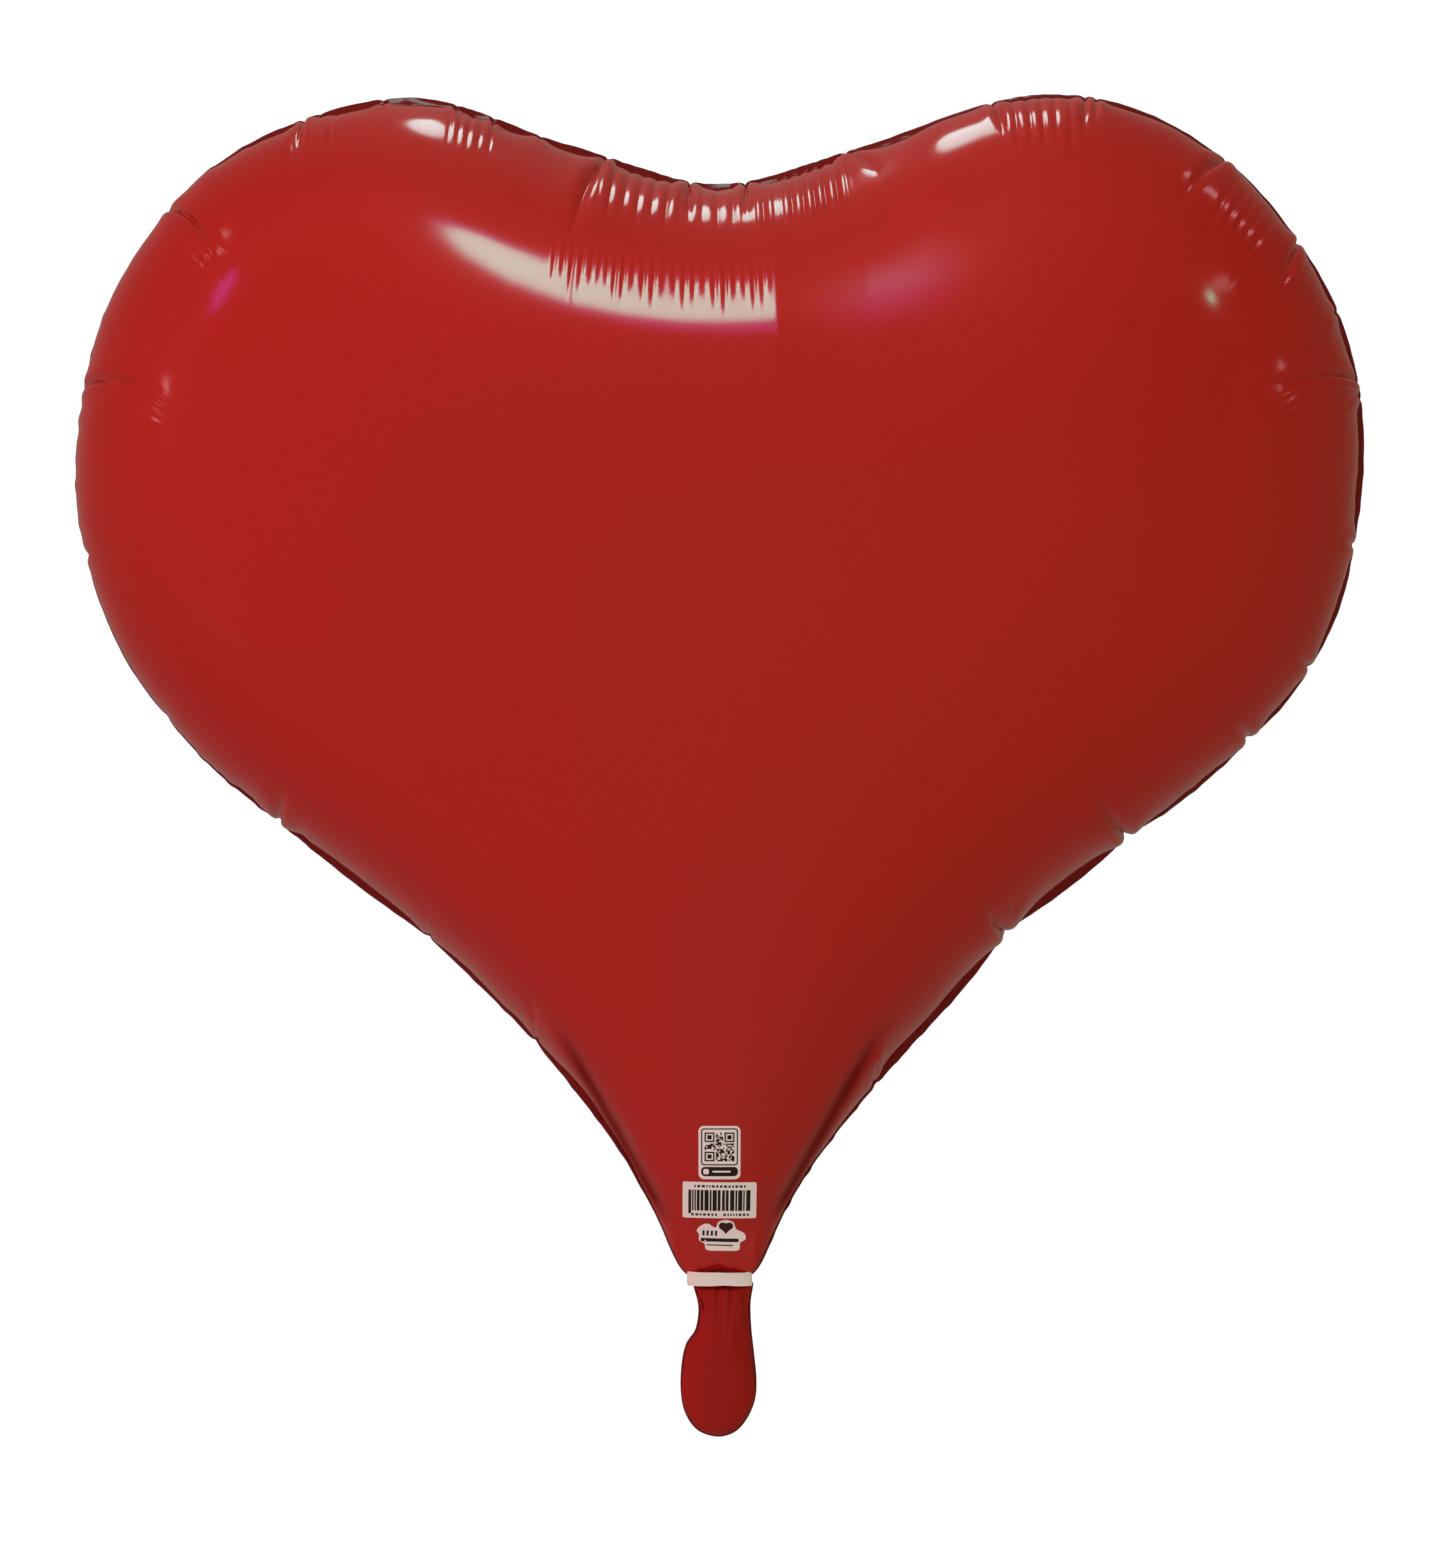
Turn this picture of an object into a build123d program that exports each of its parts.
"""Heart-shaped foil balloon, inflated and tied with ribbon. Millimetres, +Z up, front towards -Y.

The origin is the middle of the neck, where the ribbon is tied. The heart stands above it and the
filling tail hangs below. Each foil panel is a domed shell with a flat heat-sealed rim, and the two
panels meet at Y = 0. The film is drawn thicker than real film, so that every wall is a solid.
"""

from build123d import *
import os
from math import cos, pi, sin, sqrt

# Heart: the visible size of the inflated balloon, over its sealed rim
HEART_WIDTH = 525.0
HEART_HEIGHT = 482.5  # from the tie to the tops of the lobes
HEART_DEPTH = 216.0  # both panels together
SEAM_WIDTH = 5.0  # flat heat-sealed rim round the gas space
FOIL = 0.6  # drawn wall of one panel
# Right half of the heart's outline, from the notch round to the neck, as shares of half the width
# and of the height
HEART_SHAPE = [
    (0.000, 0.928),
    (0.230, 0.960),
    (0.490, 1.000),
    (0.760, 0.952),
    (0.940, 0.835),
    (1.000, 0.693),
    (0.962, 0.560),
    (0.833, 0.455),
    (0.555, 0.335),
    (0.345, 0.231),
    (0.200, 0.140),
    (0.110, 0.066),
    (0.055, 0.006),
]

# Crown of each panel: the flat oval that the dome rises to
CROWN_Z = 290.0
CROWN_HALF_WIDTH = 118.0
CROWN_HALF_HEIGHT = 46.0

# Neck and ribbon
NECK_HALF_WIDTH = 12.5
NECK_HALF_DEPTH = 3.5
NECK_TOP = 24.0  # where the neck has run out into the domes
RIBBON_WIDTH = 5.2
RIBBON_THICKNESS = 0.4
RIBBON_TURNS = 2
KNOT = (6.4, 4.2, 4.6)
RIBBON_END_LENGTH = 15.0

# Filling tail
TAIL_TOP = -3.0
TAIL_BOTTOM = -65.0
TAIL_DEPTH = 12.0
TAIL_SEAM = 3.0
TAIL_CROWN_Z = -42.0
TAIL_CROWN_HALF_WIDTH = 7.0
TAIL_CROWN_HALF_HEIGHT = 12.0
# Right half of the tail's outline from top to bottom, in millimetres across and along the tail
TAIL_SHAPE = [
    (0.0, -3.0),
    (6.6, -3.8),
    (10.4, -8.0),
    (10.7, -14.5),
    (13.0, -26.0),
    (15.5, -41.5),
    (11.6, -58.5),
    (0.0, -65.0),
]
PORT_RADIUS = 3.0  # hole for the filling nozzle, through the rear layer
PORT_Z = -44.0

# Valve: two flat films that gas pressure presses together
VALVE_FILM = 0.4
VALVE_GAP = 0.2
VALVE_HALF_WIDTH = 8.0
VALVE_BOTTOM = 5.0
VALVE_LENGTH = 110.0
SLEEVE_TOP = -9.0
SLEEVE_BOTTOM = -52.0
SLEEVE_HALF_WIDTH = 6.0

# Printed stickers on the front panel: (width, height, middle's height above the tie, corner radius)
LABEL_THICKNESS = 0.4
MATRIX_LABEL = (17.0, 22.2, 54.1, 2.0)
BAR_LABEL = (29.8, 15.6, 33.9, 0.6)
MAKER_LABEL = (20.4, 13.2, 18.4, 3.0)

FRONT, REAR = -1, 1
CONTOUR_POINTS = 44
LEVELS = [0.0, 0.01, 0.05, 0.13, 0.27, 0.48, 0.74, 1.0]


def flat_point(x, z, y=0.0):
    return Vector(x, y, z)


def closed_outline(half):
    """The closed curve through the right half's points and their mirror images."""
    left = [(-x, z) for x, z in reversed(half) if x > 0]
    return Spline(*[flat_point(x, z) for x, z in list(half) + left], periodic=True)


def heart_outline():
    half_width = HEART_WIDTH / 2
    return closed_outline([(x * half_width, z * HEART_HEIGHT) for x, z in HEART_SHAPE])


def tail_outline():
    return closed_outline(TAIL_SHAPE)


def rim_points(outline, inset):
    """Points along the outline, drawn in by inset at right angles to it."""
    points = []
    for i in range(CONTOUR_POINTS):
        at = i / CONTOUR_POINTS
        inward = Vector(0, 1, 0).cross(outline.tangent_at(at)).normalized()
        points.append(outline.position_at(at) + inward * inset)
    return points


def crown_points(count, height, half_width, half_height):
    """Points round the crown's oval, in step with the outline's."""
    step = 2 * pi / count
    return [
        flat_point(half_width * sin(i * step), height + half_height * cos(i * step))
        for i in range(count)
    ]


def level_curve(rim, crown, share, pinch, y):
    """One closed level curve of a dome: the rim drawn towards the crown by share.

    pinch gives each point's exponent. Under 1 it keeps the dome low there, as in the narrow neck.
    """
    moved = [a + (b - a) * share**e for a, b, e in zip(rim, crown, pinch)]
    return Spline(*[Vector(p.X, y, p.Z) for p in moved], periodic=True)


def dome(rim, crown, pinch, depth, side):
    """The solid under a panel's dome, from the flat rim at Y = 0 out to the crown."""
    sections = []
    for share in LEVELS:
        y = side * depth * sqrt(1 - (1 - share) ** 2)
        sections.append(make_face(Wire(level_curve(rim, crown, share, pinch, y))))
    return Solid(loft(sections).solids()[0].wrapped)


def heart_dome(side, inset):
    """The heart panel's dome, drawn in from the outline by inset."""
    rim = rim_points(heart_outline(), inset)
    crown = crown_points(len(rim), CROWN_Z, CROWN_HALF_WIDTH, CROWN_HALF_HEIGHT)
    neck = [max(0.0, 1 - p.Z / CROWN_Z) ** 3 for p in rim]
    pinch = [1 - 0.42 * n for n in neck]
    return dome(rim, crown, pinch, HEART_DEPTH / 2 - inset + SEAM_WIDTH, side)


def tail_dome(side, inset):
    """The tail layer's dome, kept thin at its top so that it can fold there."""
    rim = rim_points(tail_outline(), inset)
    crown = crown_points(len(rim), TAIL_CROWN_Z, TAIL_CROWN_HALF_WIDTH, TAIL_CROWN_HALF_HEIGHT)
    length = TAIL_TOP - TAIL_BOTTOM
    thin = [max(0.0, (p.Z - TAIL_BOTTOM) / length) ** 2 for p in rim]
    pinch = [1 - 0.5 * t for t in thin]
    return dome(rim, crown, pinch, TAIL_DEPTH / 2 - inset + TAIL_SEAM, side)


def slab(face, thickness, side):
    """A flat face in the XZ plane, thickened from Y = 0 towards side."""
    return extrude(face, amount=thickness, dir=(0, side, 0))


def rim_band(outline, inner_rim, side):
    """The flat heat-sealed band between the outline and a panel's inside edge."""
    inner = make_face(Wire(level_curve(inner_rim, inner_rim, 0.0, [1.0] * len(inner_rim), 0.0)))
    return slab(make_face(Wire(outline)), FOIL, side) - slab(inner, FOIL, side)


def half_space(side, size=1200.0):
    """A block that fills one side of the plane Y = 0."""
    return Pos(0, side * size / 2, 0) * Box(size, size, size)


def neck_tube(side, inset, bottom, top):
    """Half of the flattened neck tube, filled in."""
    oval = Ellipse(NECK_HALF_WIDTH - inset, NECK_HALF_DEPTH - inset)
    tube = Pos(0, 0, bottom) * extrude(oval, amount=top - bottom)
    return tube & half_space(side)


def heart_panel(side):
    """One foil panel: domed shell, neck half and heat-sealed rim."""
    half_band = RIBBON_WIDTH / 2
    outer = heart_dome(side, SEAM_WIDTH) + neck_tube(side, 0.0, -half_band, NECK_TOP)
    inner = heart_dome(side, SEAM_WIDTH + FOIL) + neck_tube(side, FOIL, -half_band - 1, NECK_TOP)
    inner_rim = rim_points(heart_outline(), SEAM_WIDTH + FOIL)
    band = rim_band(heart_outline(), inner_rim, side)
    under_ribbon = Pos(0, 0, half_band - 50) * Box(200, 200, 100)
    return outer + (band - under_ribbon) - inner


def tail_layer(side):
    """One layer of the tail. The rear layer has the hole for the filling nozzle."""
    inner_rim = rim_points(tail_outline(), TAIL_SEAM + FOIL)
    layer = tail_dome(side, TAIL_SEAM) + rim_band(tail_outline(), inner_rim, side)
    layer -= tail_dome(side, TAIL_SEAM + FOIL)
    if side == REAR:
        layer -= port_cutter()
    return layer


def port_cutter():
    """A bar from inside the sleeve out through the tail's rear layer."""
    bar = Cylinder(PORT_RADIUS, 2 * TAIL_DEPTH, rotation=(90, 0, 0))
    return Pos(0, TAIL_DEPTH, PORT_Z) * bar


def film(half_width, bottom, top, side):
    """One flat valve film, round at its corners and half a gap clear of the middle plane."""
    outline = RectangleRounded(2 * half_width, top - bottom, half_width * 0.35)
    strip = Plane.XZ * outline
    strip = Pos(0, side * VALVE_GAP / 2, (top + bottom) / 2) * strip
    return extrude(strip, amount=VALVE_FILM, dir=(0, side, 0))


def sticker(width, height, middle, corner):
    """A printed sticker that lies on the front panel's dome."""
    shape = Pos(0, 0, middle) * (Plane.XZ * RectangleRounded(width, height, corner))
    prism = extrude(shape, amount=HEART_DEPTH, dir=(0, FRONT, 0))
    panel = heart_dome(FRONT, SEAM_WIDTH)
    return (Pos(0, FRONT * LABEL_THICKNESS, 0) * panel & prism) - panel


def ribbon_turn(turn):
    """One turn of flat ribbon round the neck."""
    inner = RIBBON_THICKNESS * turn
    outer = inner + RIBBON_THICKNESS
    ring = Ellipse(NECK_HALF_WIDTH + outer, NECK_HALF_DEPTH + outer)
    ring -= Ellipse(NECK_HALF_WIDTH + inner, NECK_HALF_DEPTH + inner)
    return Pos(0, 0, -RIBBON_WIDTH / 2) * extrude(ring, amount=RIBBON_WIDTH)


def wound_ribbon():
    """The filled outer shape of all the ribbon's turns."""
    grown = RIBBON_THICKNESS * RIBBON_TURNS
    oval = Ellipse(NECK_HALF_WIDTH + grown, NECK_HALF_DEPTH + grown)
    return Pos(0, 0, -RIBBON_WIDTH) * extrude(oval, amount=2 * RIBBON_WIDTH)


def ribbon_knot():
    """The knot at the back of the neck, pressed flat against the ribbon's turns."""
    wide, deep, tall = KNOT
    lump = fillet(Box(wide, 2 * deep, tall).edges(), 1.6)
    back = NECK_HALF_DEPTH + RIBBON_THICKNESS * RIBBON_TURNS
    return Pos(0, back, 0.6) * lump - wound_ribbon()


def ribbon_end(side_x):
    """A short cut end of ribbon that leans up and out from the knot, behind the heart."""
    back = NECK_HALF_DEPTH + RIBBON_THICKNESS * RIBBON_TURNS + KNOT[1] - 1.6
    strip = Box(RIBBON_WIDTH - 0.8, RIBBON_THICKNESS, RIBBON_END_LENGTH)
    strip = Pos(0, 0, RIBBON_END_LENGTH / 2) * strip
    leaned = Rot(-48, 0, 0) * (Rot(0, 24 * side_x, 0) * strip)
    placed = Pos(side_x * 2.4, back, 2.2) * leaned
    return placed - ribbon_knot()


def write(name, shape):
    """Writes one node's solids as STEP."""
    solids = shape.solids()
    node = solids[0] if len(solids) == 1 else Compound(children=list(solids))
    export_step(node, f"parts/{name}.step")
    print(name, len(solids), round(sum(s.volume for s in solids), 1))


os.makedirs("parts", exist_ok=True)

for side, word in ((FRONT, "front"), (REAR, "rear")):
    write(f"{word}_foil_panel", heart_panel(side))
    write(f"tail_{word}_layer", tail_layer(side))
    valve_top = VALVE_BOTTOM + VALVE_LENGTH
    write(f"valve_{word}_film", film(VALVE_HALF_WIDTH, VALVE_BOTTOM, valve_top, side))
    sleeve = film(SLEEVE_HALF_WIDTH, SLEEVE_BOTTOM, SLEEVE_TOP, side)
    write(f"sleeve_{word}_film", sleeve - port_cutter() if side == REAR else sleeve)

write("matrix_code_sticker", sticker(*MATRIX_LABEL))
write("bar_code_sticker", sticker(*BAR_LABEL))
write("maker_sticker", sticker(*MAKER_LABEL))

for turn in range(RIBBON_TURNS):
    write(f"neck_ribbon_turn_{turn + 1}", ribbon_turn(turn))
write("ribbon_knot", ribbon_knot())
for side_x, word in ((-1, "left"), (1, "right")):
    write(f"ribbon_end_{word}", ribbon_end(side_x))
